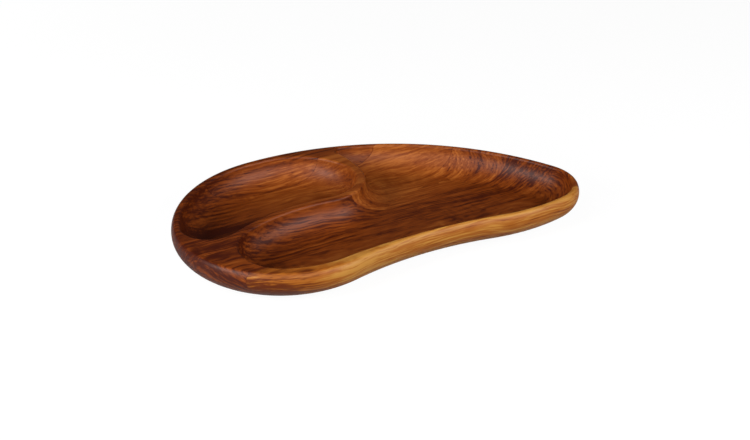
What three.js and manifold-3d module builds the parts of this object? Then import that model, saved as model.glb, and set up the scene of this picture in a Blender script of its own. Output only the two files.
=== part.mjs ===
// A divided serving dish, carved from a blank of hardwood staves glued edge to edge.
// The plan is a plump comma: a round head to the left and a tail that curls to the right.
// Two wells are cut into it, a round well at the back of the head and a long well that wraps round it.
// Millimetres, +Z up, origin on the table under the middle of the dish, staves along X.
import * as THREE from 'three';
import { mergeVertices } from 'three/addons/utils/BufferGeometryUtils.js';
import Module from 'manifold-3d';

const degrees = THREE.MathUtils.degToRad;

// Plan outline, as arcs that run into each other smoothly. The head's centre is the local origin.
const HEAD_RADIUS = 102.5;
const SHOULDER_RADIUS = 126; // back left, between the head and the long back
const SHOULDER_ANGLE = degrees(165.5); // where the head turns into the shoulder, seen from the head's centre
const BACK_RADIUS = 262;
const TIP_REACH = 233.4; // from the head's centre to the tip's centre, along X
const TIP_DROP = 48.2; // the same, towards the front
const TIP_RADIUS = 44.7;
const TAIL_RADIUS = 183.6; // belly on the front of the tail
const TAIL_ANGLE = degrees(-76); // where the tail turns into the tip, seen from the tip's centre
const WAIST_RADIUS = 316; // hollow stretch of the front

// Section through the wall, from the table up and over the rim. The top is flat and level all over.
const HEIGHT = 35;
const BASE_INSET = 41; // from the outline in to the edge of the flat base
const RIM_RUN = 4.5; // rounding on the outside of the rim, from the outline in
const RIM_RISE = 9; // the same, from the widest line up
const LIP_ROUND = 2.5; // rounding round the mouths of the wells
const FLOOR_THICKNESS = 9;
const COVE_RUN = 23; // from a well's mouth in to its flat floor
const DIVIDER_WIDTH = 8; // between the two mouths, at its narrowest
const LEAST_CORNER = 1; // radius to which a corner shrinks where an outline is drawn far in

// Round well
const ROUND_RIM_WIDTH = 8.5; // from the outline in to the mouth
const ROUND_BACK_TURN = degrees(3.4); // how far it follows the back rim on from the shoulder
const ROUND_FLANK_RADIUS = 67; // back right
const ROUND_END_RADIUS = 40.5; // right end
const ROUND_END_ANGLE = degrees(21.5); // where the flank turns into that, seen from the flank's centre
const ROUND_TAIL_RADIUS = 27;
const ROUND_TAIL_ANGLE = degrees(165); // where it leaves the shoulder, seen from the shoulder arc's centre
const ROUND_FRONT_RADIUS = 179; // hollow stretch along the divider

// Long well
const LONG_RIM_WIDTH = 7; // from the outline in to the mouth, round the tail
const LOBE_RIM_WIDTH = 12.5; // the same, at the front of the head
const LOBE_ANGLE = degrees(-114); // where its left end touches the front rim, seen from the head's centre
const LONG_WAIST_RADIUS = 520; // hollow stretch along the front rim
const CORNER_TURN = degrees(0.3); // how far the divider's front runs on past the round well's right end
const BRIDGE_RADIUS = 110; // the divider's right side, up to the back rim
const BRIDGE_ANGLE = degrees(-8); // where the divider's corner turns into it, seen from the corner's centre
const HORN_RADIUS = 7; // sharp end between the divider and the back rim

// Blank
const STAVE_WIDTH = 42;
const GLUE_LINE = 0.1;
const GOLDEN_WOOD = 0xab6c33; // the board along the front edge
const RUSSET_WOOD = 0x8a4c27; // the boards behind it
const SATIN_ROUGHNESS = 0.45;

// Fineness of the facets
const ARC_STEP = 12;
const TURN_STEP = degrees(15);
const ROUND_STEPS = 3;
const WALL_STEPS = 7;
const CUT_MARGIN = 5; // how far a cutting solid runs past what it cuts

const WIDEST = HEIGHT - RIM_RISE; // height at which the outside reaches the outline
const MOUTH = HEIGHT - LIP_ROUND; // height at which the walls of the wells are upright

const wasm = await Module();
wasm.setup();

// Outlines of tangent arcs

const towards = (angle) => new THREE.Vector2(Math.cos(angle), Math.sin(angle));
const from = (centre, angle, distance) => towards(angle).multiplyScalar(distance).add(centre);

// The sides of a line, looking along it, are 1 for left and -1 for right.
const RIGHT = -1;

// The point at two given distances from a and b, on one side of the line from a to b.
function meet(a, distanceA, b, distanceB, side) {
  const line = b.clone().sub(a);
  const span = line.length();
  const along = (distanceA ** 2 - distanceB ** 2 + span ** 2) / (2 * span);
  const across = Math.sqrt(Math.max(distanceA ** 2 - along ** 2, 0));
  const unit = line.divideScalar(span);
  const left = new THREE.Vector2(-unit.y, unit.x);
  return a.clone().addScaledVector(unit, along).addScaledVector(left, side * across);
}

// An outline is a list of arcs, counter-clockwise, each tangent to the next.
// A hollow arc has a negative radius.
const arc = (centre, radius) => ({ centre, radius });

// The arc of a given radius that runs smoothly into two others, on one side of their centres.
function blend(before, after, radius, side) {
  const reach = (piece) => Math.abs(piece.radius - radius);
  return arc(meet(before.centre, reach(before), after.centre, reach(after), side), radius);
}

// An outline drawn in by a depth. A corner that runs out of radius shrinks back between its neighbours.
function inset(outline, depth) {
  const drawn = outline.map(({ centre, radius }) => arc(centre, radius - depth));
  return drawn.map((piece, i) => {
    const hollow = outline[i].radius < 0;
    if (hollow || piece.radius >= LEAST_CORNER) return piece;
    const before = drawn.at(i - 1);
    const after = drawn[(i + 1) % drawn.length];
    const across = after.centre.clone().sub(before.centre);
    const side = Math.sign(across.cross(piece.centre.clone().sub(before.centre)));
    return blend(before, after, LEAST_CORNER, side);
  });
}

// The direction that an outline faces where one arc runs into the next.
function seam(arcA, arcB) {
  const between = arcB.centre.clone().sub(arcA.centre).divideScalar(arcA.radius - arcB.radius);
  return Math.atan2(between.y, between.x);
}

// Each arc's first facing angle and how far it turns, positive on a full arc and negative on a hollow one.
function turns(outline) {
  return outline.map((piece, i) => {
    const start = seam(outline.at(i - 1), piece);
    const end = seam(piece, outline[(i + 1) % outline.length]);
    const full = THREE.MathUtils.euclideanModulo(end - start, 2 * Math.PI);
    return { start, sweep: piece.radius > 0 ? full : full - 2 * Math.PI };
  });
}

const facets = (outline) =>
  turns(outline).map(({ sweep }, i) => {
    const length = Math.abs(sweep * outline[i].radius);
    return Math.max(1, Math.ceil(length / ARC_STEP), Math.ceil(Math.abs(sweep) / TURN_STEP));
  });

// Points along an outline at one height, with a set number of facets on each arc.
function ring(outline, counts, z) {
  return turns(outline).flatMap(({ start, sweep }, i) =>
    Array.from({ length: counts[i] }, (_, k) => {
      const point = from(outline[i].centre, start + (sweep * k) / counts[i], outline[i].radius);
      return new THREE.Vector3(point.x, point.y, z);
    }),
  );
}

// Quarter of an ellipse from flat at the bottom to upright at the top, as [inset, height] pairs.
const quarterRound = (run, rise, steps) =>
  Array.from({ length: steps + 1 }, (_, k) => {
    const angle = (k / steps) * (Math.PI / 2);
    return [run * (1 - Math.sin(angle)), rise * (1 - Math.cos(angle))];
  });

// The dish's own outline

const head = arc(new THREE.Vector2(0, 0), HEAD_RADIUS);
const tip = arc(new THREE.Vector2(TIP_REACH, -TIP_DROP), TIP_RADIUS);
const shoulder = arc(from(head.centre, SHOULDER_ANGLE, HEAD_RADIUS - SHOULDER_RADIUS), SHOULDER_RADIUS);
const tail = arc(from(tip.centre, TAIL_ANGLE, TIP_RADIUS - TAIL_RADIUS), TAIL_RADIUS);
const back = blend(shoulder, tip, BACK_RADIUS, RIGHT);
const waist = blend(head, tail, -WAIST_RADIUS, RIGHT);
const dishOutline = [tip, back, shoulder, head, waist, tail];

// The round well's mouth: along the back rim and the shoulder, round its tail, and back along the divider

const [roundBack, roundShoulder] = inset([back, shoulder], ROUND_RIM_WIDTH);
const roundFlankAngle = seam(back, shoulder) - ROUND_BACK_TURN;
const roundFlankReach = roundBack.radius - ROUND_FLANK_RADIUS;
const roundFlank = arc(from(back.centre, roundFlankAngle, roundFlankReach), ROUND_FLANK_RADIUS);
const roundEndReach = ROUND_FLANK_RADIUS - ROUND_END_RADIUS;
const roundEnd = arc(from(roundFlank.centre, ROUND_END_ANGLE, roundEndReach), ROUND_END_RADIUS);
const roundTailReach = roundShoulder.radius - ROUND_TAIL_RADIUS;
const roundTail = arc(from(shoulder.centre, ROUND_TAIL_ANGLE, roundTailReach), ROUND_TAIL_RADIUS);
const roundFront = blend(roundTail, roundEnd, -ROUND_FRONT_RADIUS, RIGHT);
const roundMouth = [roundEnd, roundFlank, roundBack, roundShoulder, roundTail, roundFront];

// The long well's mouth: round the front, the tip and the back, then down the divider to its lobe at the left

const [longTail, longTip, longBack] = inset([tail, tip, back], LONG_RIM_WIDTH);
const longHead = arc(head.centre, HEAD_RADIUS - LOBE_RIM_WIDTH);
const longWaist = blend(longHead, longTail, -LONG_WAIST_RADIUS, RIGHT);
const dividerFront = arc(roundFront.centre, ROUND_FRONT_RADIUS - DIVIDER_WIDTH);
const cornerCentre = roundEnd.centre.clone().rotateAround(dividerFront.centre, -CORNER_TURN);
const dividerCorner = arc(cornerCentre, -ROUND_END_RADIUS - DIVIDER_WIDTH);
const bridgeReach = -dividerCorner.radius - BRIDGE_RADIUS;
const bridge = arc(from(dividerCorner.centre, BRIDGE_ANGLE, bridgeReach), -BRIDGE_RADIUS);
const horn = blend(longBack, bridge, HORN_RADIUS, RIGHT);
const lobe = lobeBetween(longHead, dividerFront, LOBE_ANGLE);
const longOutside = [lobe, longHead, longWaist, longTail, longTip, longBack];
const longMouth = [...longOutside, horn, bridge, dividerCorner, dividerFront];

// The arc inside two others that touches the first at a given angle and the second wherever it does.
function lobeBetween(first, second, angle) {
  const touch = from(first.centre, angle, first.radius).sub(second.centre);
  const radius = (touch.lengthSq() - second.radius ** 2) / (2 * (touch.dot(towards(angle)) - second.radius));
  return arc(from(first.centre, angle, first.radius - radius), radius);
}

// Solids

// A closed surface through a stack of rings, with a flat cap on the first and on the last.
function loft(rings) {
  const count = rings[0].length;
  const points = rings.flat();
  const faces = [];
  for (let level = 0; level + 1 < rings.length; level++) {
    for (let i = 0; i < count; i++) {
      const a = level * count + i;
      const b = level * count + ((i + 1) % count);
      faces.push(a, b, b + count, a, b + count, a + count);
    }
  }
  const last = (rings.length - 1) * count;
  for (const [a, b, c] of THREE.ShapeUtils.triangulateShape(rings[0], [])) {
    faces.push(c, b, a);
  }
  for (const [a, b, c] of THREE.ShapeUtils.triangulateShape(rings.at(-1), [])) {
    faces.push(last + a, last + b, last + c);
  }
  return new THREE.BufferGeometry().setFromPoints(points).setIndex(faces);
}

function solid(geometry) {
  const bare = new THREE.BufferGeometry();
  bare.setAttribute('position', geometry.getAttribute('position'));
  bare.setIndex(geometry.getIndex());
  const merged = mergeVertices(bare);
  return new wasm.Manifold(
    new wasm.Mesh({
      numProp: 3,
      vertProperties: new Float32Array(merged.attributes.position.array),
      triVerts: new Uint32Array(merged.index.array),
    }),
  );
}

function geometryOf(manifold) {
  const { vertProperties, triVerts } = manifold.getMesh();
  return new THREE.BufferGeometry()
    .setAttribute('position', new THREE.BufferAttribute(vertProperties, 3))
    .setIndex(new THREE.BufferAttribute(triVerts, 1));
}

// The blank: up the outside and over the rounding of the rim.
function blank() {
  const counts = facets(dishOutline);
  const outside = quarterRound(BASE_INSET, WIDEST, WALL_STEPS);
  const rim = quarterRound(RIM_RUN, RIM_RISE, ROUND_STEPS)
    .map(([run, rise]) => [run, HEIGHT - rise])
    .reverse();
  const section = [...outside, ...rim.slice(1)];
  return solid(loft(section.map(([depth, z]) => ring(inset(dishOutline, depth), counts, z))));
}

// What a cutter takes out of the blank for one well: up its wall, round its lip and past the top.
function well(mouth) {
  const counts = facets(mouth);
  const wall = quarterRound(COVE_RUN, MOUTH - FLOOR_THICKNESS, WALL_STEPS).map(([run, rise]) => [
    run,
    FLOOR_THICKNESS + rise,
  ]);
  const lip = quarterRound(LIP_ROUND, LIP_ROUND, ROUND_STEPS)
    .map(([run, rise]) => [-run, HEIGHT - rise])
    .reverse();
  const section = [...wall, ...lip.slice(1), [-LIP_ROUND, HEIGHT + CUT_MARGIN]];
  return solid(loft(section.map(([depth, z]) => ring(inset(mouth, depth), counts, z))));
}

// Staves

const carved = blank().subtract(well(roundMouth)).subtract(well(longMouth));
const bounds = new THREE.Box3().setFromBufferAttribute(geometryOf(carved).getAttribute('position'));
const size = bounds.getSize(new THREE.Vector3());
const middle = bounds.getCenter(new THREE.Vector3());

// One stave is what the carving left of a board of the blank, centred on the board.
function stave(boardCentre) {
  const board = new THREE.BoxGeometry(size.x + CUT_MARGIN, STAVE_WIDTH - GLUE_LINE, HEIGHT + CUT_MARGIN);
  board.translate(middle.x, middle.y + boardCentre, HEIGHT / 2);
  const geometry = geometryOf(carved.intersect(solid(board)));
  return geometry.translate(-middle.x, -middle.y - boardCentre, 0);
}

const dish = new THREE.Group();
const stavesEachSide = Math.ceil(size.y / 2 / STAVE_WIDTH);
const sides = [
  { side: 'front', sign: -1, edgeColour: GOLDEN_WOOD },
  { side: 'rear', sign: 1, edgeColour: RUSSET_WOOD },
];
for (const { side, sign, edgeColour } of sides) {
  for (let number = 1; number <= stavesEachSide; number++) {
    const boardCentre = sign * (number - 0.5) * STAVE_WIDTH;
    const color = number === stavesEachSide ? edgeColour : RUSSET_WOOD;
    const wood = new THREE.MeshStandardMaterial({ color, roughness: SATIN_ROUGHNESS, metalness: 0 });
    const mesh = new THREE.Mesh(stave(boardCentre), wood);
    mesh.name = `${side}_stave_${number}`;
    mesh.position.y = boardCentre;
    dish.add(mesh);
  }
}

export default dish;
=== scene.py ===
# A divided serving dish: six staves glued edge to edge, carved smooth and finished in satin lacquer.
# Metres, +Z up, origin on the table under the middle of the dish, staves along X.
import cmath
import math
from collections import namedtuple

import bpy
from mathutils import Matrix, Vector


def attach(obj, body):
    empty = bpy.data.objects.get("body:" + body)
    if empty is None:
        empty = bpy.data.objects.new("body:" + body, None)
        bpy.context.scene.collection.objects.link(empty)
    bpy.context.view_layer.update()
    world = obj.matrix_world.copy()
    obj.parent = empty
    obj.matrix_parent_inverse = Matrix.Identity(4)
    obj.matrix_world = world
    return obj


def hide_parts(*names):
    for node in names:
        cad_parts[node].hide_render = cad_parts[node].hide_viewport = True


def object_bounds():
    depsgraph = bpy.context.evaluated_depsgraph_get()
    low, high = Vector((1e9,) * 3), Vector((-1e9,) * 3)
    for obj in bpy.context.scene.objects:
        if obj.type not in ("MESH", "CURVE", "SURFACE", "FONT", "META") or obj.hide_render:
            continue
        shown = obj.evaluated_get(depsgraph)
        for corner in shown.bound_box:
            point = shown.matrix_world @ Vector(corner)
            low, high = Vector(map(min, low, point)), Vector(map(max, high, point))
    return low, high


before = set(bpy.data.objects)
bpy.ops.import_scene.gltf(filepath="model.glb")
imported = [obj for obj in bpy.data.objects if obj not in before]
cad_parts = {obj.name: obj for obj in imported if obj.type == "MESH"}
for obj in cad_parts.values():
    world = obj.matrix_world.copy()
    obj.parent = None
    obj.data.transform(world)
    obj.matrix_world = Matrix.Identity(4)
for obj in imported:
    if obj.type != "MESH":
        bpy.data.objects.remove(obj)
cad_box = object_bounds()

MM = 0.001

# Plan outline, as arcs that run into each other smoothly, seen from the head's centre
HEAD_RADIUS = 102.5 * MM
SHOULDER_RADIUS = 126 * MM
SHOULDER_ANGLE = math.radians(165.5)
BACK_RADIUS = 262 * MM
TIP_REACH = 233.4 * MM
TIP_DROP = 48.2 * MM
TIP_RADIUS = 44.7 * MM
TAIL_RADIUS = 183.6 * MM
TAIL_ANGLE = math.radians(-76)
WAIST_RADIUS = 316 * MM

# Section through the wall
HEIGHT = 35 * MM
BASE_INSET = 41 * MM
RIM_RUN = 4.5 * MM
RIM_RISE = 9 * MM
LIP_ROUND = 2.5 * MM
FLOOR_THICKNESS = 9 * MM
COVE_RUN = 23 * MM
DIVIDER_WIDTH = 8 * MM
LEAST_CORNER = 1 * MM
WIDEST = HEIGHT - RIM_RISE
MOUTH = HEIGHT - LIP_ROUND

# Round well
ROUND_RIM_WIDTH = 8.5 * MM
ROUND_BACK_TURN = math.radians(3.4)
ROUND_FLANK_RADIUS = 67 * MM
ROUND_END_RADIUS = 40.5 * MM
ROUND_END_ANGLE = math.radians(21.5)
ROUND_TAIL_RADIUS = 27 * MM
ROUND_TAIL_ANGLE = math.radians(165)
ROUND_FRONT_RADIUS = 179 * MM

# Long well
LONG_RIM_WIDTH = 7 * MM
LOBE_RIM_WIDTH = 12.5 * MM
LOBE_ANGLE = math.radians(-114)
LONG_WAIST_RADIUS = 520 * MM
CORNER_TURN = math.radians(0.3)
BRIDGE_RADIUS = 110 * MM
BRIDGE_ANGLE = math.radians(-8)
HORN_RADIUS = 7 * MM

# Blank, whose glue fills the line between two staves, so that nothing shines through it
STAVE_WIDTH = 42 * MM
GLUE_LINE = 0.002 * MM
GLUE_MARK = 0.3 * MM

# Fineness of the surface
ARC_STEP = 1.6 * MM
TURN_STEP = math.radians(4)
WALL_STEPS = 24
ROUND_STEPS = 9
CUT_MARGIN = 5 * MM
SHARP_ANGLE = math.radians(40)


# Outlines of tangent arcs, with plan points as complex numbers

Arc = namedtuple("Arc", "centre radius")  # a hollow arc has a negative radius
RIGHT = -1  # side of a line, looking along it


def reach_from(centre, angle, distance):
    return centre + cmath.rect(distance, angle)


def meet(a, reach_a, b, reach_b, side):
    """The point at two given distances from a and b, on one side of the line from a to b."""
    span = abs(b - a)
    along = (reach_a**2 - reach_b**2 + span**2) / (2 * span)
    across = math.sqrt(max(reach_a**2 - along**2, 0))
    return a + (b - a) / span * complex(along, side * across)


def blend(before, after, radius, side):
    """The arc of a given radius that runs smoothly into two others."""
    reach_before = abs(before.radius - radius)
    reach_after = abs(after.radius - radius)
    return Arc(meet(before.centre, reach_before, after.centre, reach_after, side), radius)


def inset(outline, depth):
    """An outline drawn in. A corner that runs out of radius shrinks back between its neighbours."""
    drawn = [Arc(piece.centre, piece.radius - depth) for piece in outline]
    result = []
    for i, piece in enumerate(drawn):
        if outline[i].radius > 0 and piece.radius < LEAST_CORNER:
            before = drawn[i - 1]
            after = drawn[(i + 1) % len(drawn)]
            turn = (piece.centre - before.centre) / (after.centre - before.centre)
            piece = blend(before, after, LEAST_CORNER, math.copysign(1, turn.imag))
        result.append(piece)
    return result


def seam(first, second):
    """The direction that an outline faces where one arc runs into the next."""
    return cmath.phase((second.centre - first.centre) / (first.radius - second.radius))


def turns(outline):
    """Each arc's first facing angle and how far it turns."""
    result = []
    for i, piece in enumerate(outline):
        start = seam(outline[i - 1], piece)
        full = (seam(piece, outline[(i + 1) % len(outline)]) - start) % math.tau
        result.append((start, full if piece.radius > 0 else full - math.tau))
    return result


def facets(outline):
    """How many steps each arc of an outline is drawn with."""
    counts = []
    for piece, (_, sweep) in zip(outline, turns(outline)):
        by_length = math.ceil(abs(sweep * piece.radius) / ARC_STEP)
        by_turn = math.ceil(abs(sweep) / TURN_STEP)
        counts.append(max(by_length, by_turn))
    return counts


def ring(outline, counts, z):
    """Points along an outline at one height."""
    points = []
    for piece, count, (start, sweep) in zip(outline, counts, turns(outline)):
        for step in range(count):
            point = reach_from(piece.centre, start + sweep * step / count, piece.radius)
            points.append((point.real, point.imag, z))
    return points


def quarter_round(run, rise, steps):
    """Quarter of an ellipse from flat at the bottom to upright at the top, as (inset, height) pairs."""
    angles = [step / steps * math.pi / 2 for step in range(steps + 1)]
    return [(run * (1 - math.sin(a)), rise * (1 - math.cos(a))) for a in angles]


# The dish's outline and the mouths of its wells

def dish_outline():
    """Round the tip, along the back, round the shoulder and the head, and along the waist and the tail."""
    head = Arc(0j, HEAD_RADIUS)
    tip = Arc(complex(TIP_REACH, -TIP_DROP), TIP_RADIUS)
    shoulder_centre = reach_from(head.centre, SHOULDER_ANGLE, HEAD_RADIUS - SHOULDER_RADIUS)
    shoulder = Arc(shoulder_centre, SHOULDER_RADIUS)
    tail = Arc(reach_from(tip.centre, TAIL_ANGLE, TIP_RADIUS - TAIL_RADIUS), TAIL_RADIUS)
    back = blend(shoulder, tip, BACK_RADIUS, RIGHT)
    waist = blend(head, tail, -WAIST_RADIUS, RIGHT)
    return [tip, back, shoulder, head, waist, tail]


def round_mouth(outline):
    """Along the back rim and the shoulder, round the well's tail, and back along the divider."""
    _, back, shoulder, *_ = outline
    well_back, well_shoulder = inset([back, shoulder], ROUND_RIM_WIDTH)
    flank_angle = seam(back, shoulder) - ROUND_BACK_TURN
    flank_centre = reach_from(back.centre, flank_angle, well_back.radius - ROUND_FLANK_RADIUS)
    flank = Arc(flank_centre, ROUND_FLANK_RADIUS)
    end_reach = ROUND_FLANK_RADIUS - ROUND_END_RADIUS
    end = Arc(reach_from(flank.centre, ROUND_END_ANGLE, end_reach), ROUND_END_RADIUS)
    tail_reach = well_shoulder.radius - ROUND_TAIL_RADIUS
    tail = Arc(reach_from(shoulder.centre, ROUND_TAIL_ANGLE, tail_reach), ROUND_TAIL_RADIUS)
    front = blend(tail, end, -ROUND_FRONT_RADIUS, RIGHT)
    return [end, flank, well_back, well_shoulder, tail, front]


def long_mouth(outline, round_well):
    """Round the front, the tip and the back, then down the divider to the lobe at the left."""
    tip, back, _, head, _, tail = outline
    well_tail, well_tip, well_back = inset([tail, tip, back], LONG_RIM_WIDTH)
    well_head = Arc(head.centre, HEAD_RADIUS - LOBE_RIM_WIDTH)
    well_waist = blend(well_head, well_tail, -LONG_WAIST_RADIUS, RIGHT)
    divider = Arc(round_well[-1].centre, ROUND_FRONT_RADIUS - DIVIDER_WIDTH)
    to_end = round_well[0].centre - divider.centre
    corner_centre = divider.centre + to_end * cmath.rect(1, -CORNER_TURN)
    corner = Arc(corner_centre, -ROUND_END_RADIUS - DIVIDER_WIDTH)
    bridge_reach = -corner.radius - BRIDGE_RADIUS
    bridge = Arc(reach_from(corner.centre, BRIDGE_ANGLE, bridge_reach), -BRIDGE_RADIUS)
    horn = blend(well_back, bridge, HORN_RADIUS, RIGHT)
    lobe = lobe_between(well_head, divider, LOBE_ANGLE)
    outside = [lobe, well_head, well_waist, well_tail, well_tip, well_back]
    return [*outside, horn, bridge, corner, divider]


def lobe_between(first, second, angle):
    """The arc inside two others that touches the first at a given angle."""
    touch = reach_from(first.centre, angle, first.radius) - second.centre
    towards_touch = (touch * cmath.rect(1, -angle)).real
    radius = (abs(touch) ** 2 - second.radius**2) / (2 * (towards_touch - second.radius))
    return Arc(reach_from(first.centre, angle, first.radius - radius), radius)


# Meshes through stacked rings

def loft(name, outline, section, shift):
    """A closed mesh through an outline drawn in by each step of a section."""
    counts = facets(outline)
    rings = [ring(inset(outline, depth), counts, z) for depth, z in section]
    size = len(rings[0])
    points = [Vector(point) - shift for level in rings for point in level]
    faces = []
    for level in range(len(rings) - 1):
        for i in range(size):
            a = level * size + i
            b = level * size + (i + 1) % size
            faces.append((a, b, b + size, a + size))
    last = len(points) - size
    faces.append(tuple(reversed(range(size))))
    faces.append(tuple(range(last, last + size)))
    mesh = bpy.data.meshes.new(name)
    mesh.from_pydata(points, [], faces)
    made = bpy.data.objects.new(name, mesh)
    bpy.context.scene.collection.objects.link(made)
    return made


def blank_section():
    """Up the outside and over the rounding of the rim."""
    outside = quarter_round(BASE_INSET, WIDEST, WALL_STEPS)
    rim = [(run, HEIGHT - rise) for run, rise in quarter_round(RIM_RUN, RIM_RISE, ROUND_STEPS)]
    return outside + rim[-2::-1]


def well_section():
    """Up the wall of a well, round its lip and past the top."""
    wall = quarter_round(COVE_RUN, MOUTH - FLOOR_THICKNESS, WALL_STEPS)
    lip = [(-run, HEIGHT - rise) for run, rise in quarter_round(LIP_ROUND, LIP_ROUND, ROUND_STEPS)]
    raised = [(run, FLOOR_THICKNESS + rise) for run, rise in wall]
    return raised + lip[-2::-1] + [(-LIP_ROUND, HEIGHT + CUT_MARGIN)]


def middle_of(outline):
    """The middle of an outline's box, in the plan."""
    points = ring(outline, facets(outline), 0)
    xs = [point[0] for point in points]
    ys = [point[1] for point in points]
    return Vector(((min(xs) + max(xs)) / 2, (min(ys) + max(ys)) / 2, 0))


# Wiring of node trees

NOISE_SPREAD = 4
NOISE_MIDDLE = (0.5, 0.5, 0.5)
MIX_COLOUR_A = 6  # places of the colour sockets on a Mix node, where their names occur more than once
MIX_COLOUR_B = 7
MIX_COLOUR_RESULT = 2


def add_sockets(tree, in_out, kind, *names):
    for name in names:
        tree.interface.new_socket(name, in_out=in_out, socket_type=f"NodeSocket{kind}")


class Wiring:
    """Short ways to add nodes to one tree."""

    def __init__(self, tree):
        self.tree = tree

    def node(self, kind, **settings):
        made = self.tree.nodes.new(kind)
        for name, value in settings.items():
            setattr(made, name, value)
        return made

    def feed(self, socket, value):
        """Link a socket to another, or set it to a plain value."""
        if isinstance(value, bpy.types.NodeSocket):
            self.tree.links.new(value, socket)
        else:
            socket.default_value = value

    def math(self, operation, *values):
        made = self.node("ShaderNodeMath", operation=operation)
        for socket, value in zip(made.inputs, values):
            self.feed(socket, value)
        return made.outputs["Value"]

    def add_in(self, total, *parts):
        """A total, with each part added in by its share."""
        for part, share in parts:
            total = self.math("MULTIPLY_ADD", part, share, total)
        return total

    def vector(self, operation, a, b):
        made = self.node("ShaderNodeVectorMath", operation=operation)
        self.feed(made.inputs[0], a)
        self.feed(made.inputs[1], b)
        return made.outputs["Vector"]

    def split(self, vector):
        made = self.node("ShaderNodeSeparateXYZ")
        self.feed(made.inputs["Vector"], vector)
        return made.outputs

    def texture(self, place, layer):
        made = self.node("ShaderNodeTexNoise")
        self.feed(made.inputs["Vector"], self.vector("MULTIPLY", place, layer.cells))
        made.inputs["Scale"].default_value = 1
        made.inputs["Detail"].default_value = layer.detail
        made.inputs["Roughness"].default_value = layer.roughness
        return made.outputs

    def noise(self, place, layer):
        """A layer of noise in about -1 to 1."""
        level = self.texture(place, layer)["Fac"]
        return self.math("MULTIPLY_ADD", level, NOISE_SPREAD, -NOISE_SPREAD / 2)

    def drift(self, place, layer, reach):
        """A layer of noise that moves a place to and fro, within half the reach each way."""
        off_middle = self.vector("SUBTRACT", self.texture(place, layer)["Color"], NOISE_MIDDLE)
        return self.vector("MULTIPLY", off_middle, reach)

    def steps(self, value, limits):
        """A smooth step from 0 at the first limit to 1 at the second."""
        made = self.node("ShaderNodeMapRange", interpolation_type="SMOOTHSTEP")
        self.feed(made.inputs["Value"], value)
        made.inputs["From Min"].default_value = limits[0]
        made.inputs["From Max"].default_value = limits[1]
        return made.outputs["Result"]

    def mix(self, share, a, b):
        """A colour between two others."""
        made = self.node("ShaderNodeMix", data_type="RGBA")
        self.feed(made.inputs["Factor"], share)
        self.feed(made.inputs[MIX_COLOUR_A], a)
        self.feed(made.inputs[MIX_COLOUR_B], b)
        return made.outputs[MIX_COLOUR_RESULT]


# Geometry nodes that carve the blank and saw one stave out of it

WELLS = ("Round well", "Long well")


def stave_tree():
    """The blank less both wells, sawn to one board and shaded smooth."""
    tree = bpy.data.node_groups.new("carved_stave", "GeometryNodeTree")
    add_sockets(tree, "INPUT", "Geometry", "Blank")
    add_sockets(tree, "INPUT", "Object", *WELLS)
    add_sockets(tree, "INPUT", "Vector", "Board centre", "Board size")
    add_sockets(tree, "INPUT", "Float", "Sharp angle")
    add_sockets(tree, "INPUT", "Material", "Wood")
    add_sockets(tree, "OUTPUT", "Geometry", "Stave")
    w = Wiring(tree)
    given = w.node("NodeGroupInput").outputs

    carve = w.node("GeometryNodeMeshBoolean", operation="DIFFERENCE", solver="MANIFOLD")
    w.feed(carve.inputs["Mesh 1"], given["Blank"])
    for well in WELLS:
        cutter = w.node("GeometryNodeObjectInfo")
        w.feed(cutter.inputs["Object"], given[well])
        w.feed(carve.inputs["Mesh 2"], cutter.outputs["Geometry"])

    board = w.node("GeometryNodeMeshCube")
    w.feed(board.inputs["Size"], given["Board size"])
    placed = w.node("GeometryNodeTransform")
    w.feed(placed.inputs["Geometry"], board.outputs["Mesh"])
    w.feed(placed.inputs["Translation"], given["Board centre"])
    saw = w.node("GeometryNodeMeshBoolean", operation="INTERSECT", solver="MANIFOLD")
    w.feed(saw.inputs["Mesh 2"], carve.outputs["Mesh"])
    w.feed(saw.inputs["Mesh 2"], placed.outputs["Geometry"])

    smooth = w.node("GeometryNodeSetShadeSmooth", domain="FACE")
    w.feed(smooth.inputs["Geometry"], saw.outputs["Mesh"])
    angle = w.node("GeometryNodeInputMeshEdgeAngle")
    gentle = w.math("LESS_THAN", angle.outputs["Unsigned Angle"], given["Sharp angle"])
    edges = w.node("GeometryNodeSetShadeSmooth", domain="EDGE")
    w.feed(edges.inputs["Geometry"], smooth.outputs["Geometry"])
    w.feed(edges.inputs["Shade Smooth"], gentle)

    realize = w.node("GeometryNodeRealizeInstances")
    w.feed(realize.inputs["Geometry"], edges.outputs["Geometry"])
    wood = w.node("GeometryNodeSetMaterial")
    w.feed(wood.inputs["Geometry"], realize.outputs["Geometry"])
    w.feed(wood.inputs["Material"], given["Wood"])
    w.feed(w.node("NodeGroupOutput").inputs["Stave"], wood.outputs["Geometry"])
    return tree


def cut_stave(name, tree, blank, wells, board_centre, wood):
    """One stave of the carved dish as a plain mesh."""
    worker = bpy.data.objects.new(name, blank.data.copy())
    bpy.context.scene.collection.objects.link(worker)
    carving = worker.modifiers.new("carving", "NODES")
    carving.node_group = tree
    length = cad_box[1].x - cad_box[0].x
    values = {
        **wells,
        "Board centre": (0, board_centre, HEIGHT / 2),
        "Board size": (length + 2 * CUT_MARGIN, STAVE_WIDTH - GLUE_LINE, HEIGHT + 2 * CUT_MARGIN),
        "Sharp angle": SHARP_ANGLE,
        "Wood": wood,
    }
    for socket in tree.interface.items_tree:
        if socket.in_out == "INPUT" and socket.name in values:
            carving[socket.identifier] = values[socket.name]
    evenness = worker.modifiers.new("evenness", "WEIGHTED_NORMAL")
    evenness.keep_sharp = True
    depsgraph = bpy.context.evaluated_depsgraph_get()
    mesh = bpy.data.meshes.new_from_object(worker.evaluated_get(depsgraph))
    worker.modifiers.clear()
    worker.data = mesh
    mesh.name = name
    return worker


# Layers of noise in the wood, with so many cells to the metre along X, Y and Z

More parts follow.
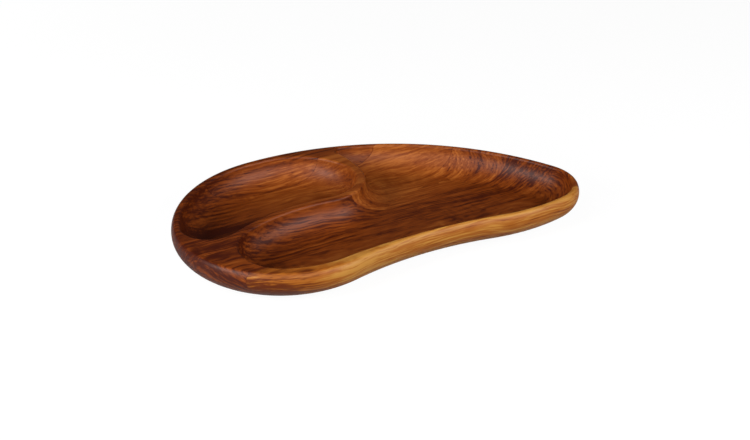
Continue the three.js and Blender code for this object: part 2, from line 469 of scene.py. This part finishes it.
Layer = namedtuple("Layer", "cells detail roughness", defaults=(2, 0.5))
WANDER = Layer((7, 14, 14))
WANDER_REACH = (0, 20 * MM, 20 * MM)
RIPPLE = Layer((46, 30, 30))
RIPPLE_REACH = (0, 3 * MM, 3 * MM)
FLAME = Layer((190, 30, 30))
FLAME_PATCH = Layer((9, 16, 16))
SEED_SHIFT = (0.71, 0.37, 0.53)

# Layers that follow the grain, with cells along it, out from the pith and round it
RING_PATCH = Layer((4, 70, 30))
BAND = Layer((2.5, 45, 12))
STREAK = Layer((6, 190, 50), detail=3)
LINE = Layer((9, 480, 120), detail=3, roughness=0.6)
FIBRE = Layer((50, 650, 450))
PORE = Layer((45, 900, 800), detail=1)
PITH_REACH = 60 * MM  # where a turn round the pith is measured

# Where each effect sets in and where it is full
RING_DARKENS = (0.3, 0.92)
RING_ENDS = (0.94, 1.0)
RING_SHOWS = (-0.5, 0.8)
FLAME_SHOWS = (-0.2, 0.7)
PORE_SHOWS = (0.4, 0.9)
END_GRAIN_SHOWS = (0.3, 0.9)
DARK_HEAD_SHOWS = (-50 * MM, -150 * MM)
GLUE_SHOWS = (STAVE_WIDTH / 2 - GLUE_MARK, STAVE_WIDTH / 2)
MIDWOOD_SHOWS = (-0.2, 0.55)
HEARTWOOD_SHOWS = (0.45, 1.0)

# How far each effect takes the wood towards heartwood
RING_TONE = 0.22
BAND_TONE = 0.20
STREAK_TONE = 0.24
LINE_TONE = 0.30
FIBRE_TONE = 0.28
END_GRAIN_TONE = 0.15
PORE_TONE = 0.22
GLUE_TONE = 0.4

# Satin lacquer over open pores
SATIN_ROUGHNESS = 0.46
LINE_ROUGHNESS = 0.03
PORE_ROUGHNESS = 0.12
FIBRE_HEIGHT = 0.15
PORE_HEIGHT = -1
GRAIN_DEPTH = 0.12 * MM
GRAIN_STRENGTH = 0.35
LACQUER = {
    "IOR": 1.45,
    "Specular IOR Level": 0.15,
    "Coat Weight": 0.18,
    "Coat Roughness": 0.38,
}


def place_in_log(w, here, pith, seed):
    """The distance out from the pith, and the place along the grain, out from the pith and round it."""
    section = w.split(w.vector("SUBTRACT", here, pith))
    y = section["Y"]
    z = section["Z"]
    radius = w.math("SQRT", w.math("ADD", w.math("MULTIPLY", y, y), w.math("MULTIPLY", z, z)))
    grain = w.node("ShaderNodeCombineXYZ")
    w.feed(grain.inputs["X"], w.math("ADD", section["X"], seed))
    w.feed(grain.inputs["Y"], radius)
    w.feed(grain.inputs["Z"], w.math("MULTIPLY", w.math("ARCTAN2", z, y), PITH_REACH))
    return radius, grain.outputs["Vector"]


def growth_rings(w, radius, grain, ring_width):
    """Rings that darken outwards and end sharply, and that come and go."""
    phase = w.math("FRACT", w.math("DIVIDE", radius, ring_width))
    darkening = w.steps(phase, RING_DARKENS)
    not_ended = w.math("SUBTRACT", 1, w.steps(phase, RING_ENDS))
    shown = w.steps(w.noise(grain, RING_PATCH), RING_SHOWS)
    return w.math("MULTIPLY", w.math("MULTIPLY", darkening, not_ended), shown)


def acacia_group():
    """Growth rings round a pith that runs along X, with wandering grain, streaks, flame and pores."""
    tree = bpy.data.node_groups.new("acacia_figure", "ShaderNodeTree")
    add_sockets(tree, "INPUT", "Vector", "Position", "Normal", "Pith")
    add_sockets(tree, "INPUT", "Float", "Board centre", "Seed", "Heart", "Heart along X", "Dark head")
    add_sockets(tree, "INPUT", "Float", "Ring width", "Figure", "Flame")
    add_sockets(tree, "INPUT", "Color", "Sapwood", "Midwood", "Heartwood")
    add_sockets(tree, "OUTPUT", "Color", "Colour")
    add_sockets(tree, "OUTPUT", "Float", "Roughness", "Height")
    w = Wiring(tree)
    given = w.node("NodeGroupInput").outputs
    here = given["Position"]
    shifted = w.vector("ADD", here, w.vector("MULTIPLY", given["Seed"], SEED_SHIFT))
    wander = w.drift(shifted, WANDER, WANDER_REACH)
    ripple = w.drift(shifted, RIPPLE, RIPPLE_REACH)
    bent = w.vector("ADD", here, w.vector("ADD", wander, ripple))
    radius, grain = place_in_log(w, bent, given["Pith"], given["Seed"])

    # figure along the grain, and flame across it
    rings = growth_rings(w, radius, grain, given["Ring width"])
    band = w.noise(grain, BAND)
    streak = w.noise(grain, STREAK)
    line = w.noise(grain, LINE)
    fibre = w.noise(grain, FIBRE)
    pore = w.steps(w.noise(grain, PORE), PORE_SHOWS)
    figure = w.add_in(
        0,
        (rings, RING_TONE),
        (band, BAND_TONE),
        (streak, STREAK_TONE),
        (line, LINE_TONE),
        (fibre, FIBRE_TONE),
    )
    flamed = w.steps(w.noise(shifted, FLAME_PATCH), FLAME_SHOWS)
    flame = w.math("MULTIPLY", w.noise(bent, FLAME), flamed)

    # how far towards heartwood
    place = w.split(here)
    facing = w.split(given["Normal"])
    off_centre = w.math("ABSOLUTE", w.math("SUBTRACT", place["Y"], given["Board centre"]))
    tone = w.add_in(
        given["Heart"],
        (place["X"], given["Heart along X"]),
        (w.steps(place["X"], DARK_HEAD_SHOWS), given["Dark head"]),
        (figure, given["Figure"]),
        (flame, given["Flame"]),
        (w.steps(w.math("ABSOLUTE", facing["X"]), END_GRAIN_SHOWS), END_GRAIN_TONE),
        (pore, PORE_TONE),
        (w.steps(off_centre, GLUE_SHOWS), GLUE_TONE),
    )
    colour = w.mix(w.steps(tone, MIDWOOD_SHOWS), given["Sapwood"], given["Midwood"])
    colour = w.mix(w.steps(tone, HEARTWOOD_SHOWS), colour, given["Heartwood"])

    result = w.node("NodeGroupOutput").inputs
    w.feed(result["Colour"], colour)
    w.feed(result["Roughness"], w.add_in(SATIN_ROUGHNESS, (line, LINE_ROUGHNESS), (pore, PORE_ROUGHNESS)))
    w.feed(result["Height"], w.add_in(0, (fibre, FIBRE_HEIGHT), (pore, PORE_HEIGHT)))
    return tree


# The wood of each stave, with its pith seen from the middle of the board's foot

Palette = namedtuple("Palette", "sapwood midwood heartwood")
GOLDEN = Palette("bc843a", "9c5718", "5e2605")
RUSSET = Palette("aa6025", "7c380b", "421303")

# heart is a board's tone from 0, sapwood, to 1, heartwood, and dark_head is what the head's end adds
Stave = namedtuple(
    "Stave", "side number palette pith_y pith_z ring_width seed heart heart_along_x dark_head figure flame"
)
STAVES = (
    Stave("front", 1, RUSSET, pith_y=-70 * MM, pith_z=4 * MM, ring_width=3.2 * MM, seed=1.3,
          heart=0.60, heart_along_x=0.1, dark_head=0.20, figure=1.0, flame=0.2),
    Stave("front", 2, RUSSET, pith_y=40 * MM, pith_z=-110 * MM, ring_width=3.6 * MM, seed=4.1,
          heart=0.52, heart_along_x=-0.5, dark_head=0, figure=1.0, flame=0.2),
    Stave("front", 3, GOLDEN, pith_y=-10 * MM, pith_z=-150 * MM, ring_width=4.0 * MM, seed=11.6,
          heart=0.12, heart_along_x=0.5, dark_head=0.90, figure=1.2, flame=0.1),
    Stave("rear", 1, RUSSET, pith_y=66 * MM, pith_z=10 * MM, ring_width=3.0 * MM, seed=2.6,
          heart=0.28, heart_along_x=1.0, dark_head=0.75, figure=1.0, flame=0.3),
    Stave("rear", 2, RUSSET, pith_y=-60 * MM, pith_z=-60 * MM, ring_width=3.4 * MM, seed=5.9,
          heart=0.22, heart_along_x=-0.3, dark_head=0.40, figure=0.8, flame=0.5),
    Stave("rear", 3, RUSSET, pith_y=-50 * MM, pith_z=-60 * MM, ring_width=3.6 * MM, seed=9.2,
          heart=0.49, heart_along_x=1.2, dark_head=0.46, figure=1.0, flame=0.2),
)


def linear(hex_colour):
    """An sRGB colour, written as six hex digits, as linear RGBA."""
    channels = [int(hex_colour[i:i + 2], 16) / 255 for i in (0, 2, 4)]
    return [c / 12.92 if c <= 0.04045 else ((c + 0.055) / 1.055) ** 2.4 for c in channels] + [1]


def stave_wood(name, group, stave, board_centre):
    """Satin lacquered acacia with its own pith, tone and figure."""
    material = bpy.data.materials.new(name)
    material.use_nodes = True
    w = Wiring(material.node_tree)
    coordinates = w.node("ShaderNodeTexCoord")
    figure = w.node("ShaderNodeGroup", node_tree=group)
    values = {
        "Position": coordinates.outputs["Object"],
        "Normal": coordinates.outputs["Normal"],
        "Pith": (0, board_centre + stave.pith_y, stave.pith_z),
        "Board centre": board_centre,
        "Seed": stave.seed,
        "Heart": stave.heart,
        "Heart along X": stave.heart_along_x,
        "Dark head": stave.dark_head,
        "Ring width": stave.ring_width,
        "Figure": stave.figure,
        "Flame": stave.flame,
        "Sapwood": linear(stave.palette.sapwood),
        "Midwood": linear(stave.palette.midwood),
        "Heartwood": linear(stave.palette.heartwood),
    }
    for socket, value in values.items():
        w.feed(figure.inputs[socket], value)
    bump = w.node("ShaderNodeBump")
    bump.inputs["Strength"].default_value = GRAIN_STRENGTH
    bump.inputs["Distance"].default_value = GRAIN_DEPTH
    w.feed(bump.inputs["Height"], figure.outputs["Height"])
    shader = material.node_tree.nodes["Principled BSDF"]
    w.feed(shader.inputs["Base Color"], figure.outputs["Colour"])
    w.feed(shader.inputs["Roughness"], figure.outputs["Roughness"])
    w.feed(shader.inputs["Normal"], bump.outputs["Normal"])
    for socket, value in LACQUER.items():
        shader.inputs[socket].default_value = value
    return material


# Dish

def build_dish():
    """Six staves, sawn out of one carved blank, each in place of its solid."""
    outline = dish_outline()
    round_well = round_mouth(outline)
    long_well = long_mouth(outline, round_well)
    middle = middle_of(outline)
    blank = loft("blank", outline, blank_section(), middle)
    wells = {
        "Round well": loft("round_well", round_well, well_section(), middle),
        "Long well": loft("long_well", long_well, well_section(), middle),
    }
    tree = stave_tree()
    group = acacia_group()
    for stave in STAVES:
        name = f"{stave.side}_stave_{stave.number}"
        sign = -1 if stave.side == "front" else 1
        board_centre = sign * (stave.number - 0.5) * STAVE_WIDTH
        wood = stave_wood(f"{name}_acacia", group, stave, board_centre)
        piece = cut_stave(f"{name}_carved", tree, blank, wells, board_centre, wood)
        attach(piece, "root")
        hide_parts(name)
    for cutter in (blank, *wells.values()):
        bpy.data.objects.remove(cutter)


# Studio

CAMERA_PLACE = (-0.4434, -0.8480, 0.5333)
CAMERA_TARGET = (0.0082, 0.0015, 0.0)
LENS = 55.44  # lens and sensor in millimetres
SENSOR_WIDTH = 36
FLOOR_SIZE = 8
FLOOR_DROP = 0.2 * MM
FLOOR_WHITE = 0.6
FLOOR_BOUNCE = 0.06
FLOOR_GLOW = 1.15
FLOOR_GLOW_SHARE = 0.8
AMBIENT = 0.07
LAMP_TARGET = (0, 0, 0)

SoftBox = namedtuple("SoftBox", "name place width height watts shines")  # gloss shows a lamp that shines
SOFT_BOXES = (
    SoftBox("key", (0.65, -1.2, 0.62), 1.0, 0.8, 15.5, True),
    SoftBox("fill", (-0.4, -1.3, 0.55), 0.8, 0.6, 6, True),
    SoftBox("rim", (-0.75, -0.37, 1.1), 0.4, 0.4, 2, True),
    SoftBox("left", (-1.15, -0.15, 0.57), 0.6, 0.5, 10, True),
    SoftBox("back", (-0.7, 1.3, 0.4), 0.8, 0.4, 5, False),
    SoftBox("edge", (-1.2, -0.7, 0.3), 0.4, 0.3, 4, True),
)


def grey(level):
    return (level, level, level, 1)


def aim(thing, place, target):
    """Put a camera or a lamp in its place and turn it to a target."""
    thing.location = place
    direction = Vector(target) - Vector(place)
    thing.rotation_euler = direction.to_track_quat("-Z", "Y").to_euler()
    bpy.context.scene.collection.objects.link(thing)


def build_studio():
    scene = bpy.context.scene
    scene.view_settings.view_transform = "Standard"
    camera = bpy.data.objects.new("camera", bpy.data.cameras.new("camera"))
    camera.data.lens = LENS
    camera.data.sensor_width = SENSOR_WIDTH
    aim(camera, CAMERA_PLACE, CAMERA_TARGET)
    scene.camera = camera
    for box in SOFT_BOXES:
        lamp = bpy.data.lights.new(box.name, "AREA")
        lamp.shape = "RECTANGLE"
        lamp.size = box.width
        lamp.size_y = box.height
        lamp.energy = box.watts
        soft_box = bpy.data.objects.new(box.name, lamp)
        soft_box.visible_glossy = box.shines
        aim(soft_box, box.place, LAMP_TARGET)
    build_world(scene)
    build_floor()


def build_world(scene):
    """Surroundings as pale as the floor for the camera, with a low ambient light on the dish."""
    world = bpy.data.worlds.new("studio")
    scene.world = world
    world.use_nodes = True
    w = Wiring(world.node_tree)
    background = world.node_tree.nodes["Background"]
    background.inputs["Color"].default_value = grey(1)
    rays = w.node("ShaderNodeLightPath").outputs
    in_view = FLOOR_GLOW * FLOOR_GLOW_SHARE - AMBIENT
    w.feed(background.inputs["Strength"], w.math("MULTIPLY_ADD", rays["Is Camera Ray"], in_view, AMBIENT))


def build_floor():
    """A white table top that keeps a soft shadow of the dish."""
    half = FLOOR_SIZE / 2
    corners = [(-half, -half), (half, -half), (half, half), (-half, half)]
    mesh = bpy.data.meshes.new("floor")
    mesh.from_pydata([(x, y, -FLOOR_DROP) for x, y in corners], [], [(0, 1, 2, 3)])
    mesh.materials.append(table_white())
    floor = bpy.data.objects.new("floor", mesh)
    bpy.context.scene.collection.objects.link(floor)


def table_white():
    """White where it is seen, with a glow for the camera, and dark enough to throw little light back."""
    material = bpy.data.materials.new("white_table")
    material.use_nodes = True
    material.node_tree.nodes.clear()
    w = Wiring(material.node_tree)
    rays = w.node("ShaderNodeLightPath").outputs
    in_view = w.math("MAXIMUM", rays["Is Camera Ray"], rays["Is Transmission Ray"])
    shown = w.math("MAXIMUM", in_view, rays["Is Glossy Ray"])
    matt = w.node("ShaderNodeBsdfDiffuse")
    w.feed(matt.inputs["Color"], w.mix(shown, grey(FLOOR_BOUNCE), grey(FLOOR_WHITE)))
    glow = w.node("ShaderNodeEmission")
    glow.inputs["Strength"].default_value = FLOOR_GLOW
    surface = w.node("ShaderNodeMixShader")
    w.feed(surface.inputs["Fac"], w.math("MULTIPLY", in_view, FLOOR_GLOW_SHARE))
    w.feed(surface.inputs[1], matt.outputs["BSDF"])
    w.feed(surface.inputs[2], glow.outputs["Emission"])
    result = w.node("ShaderNodeOutputMaterial")
    w.feed(result.inputs["Surface"], surface.outputs["Shader"])
    return material


build_studio()
build_dish()
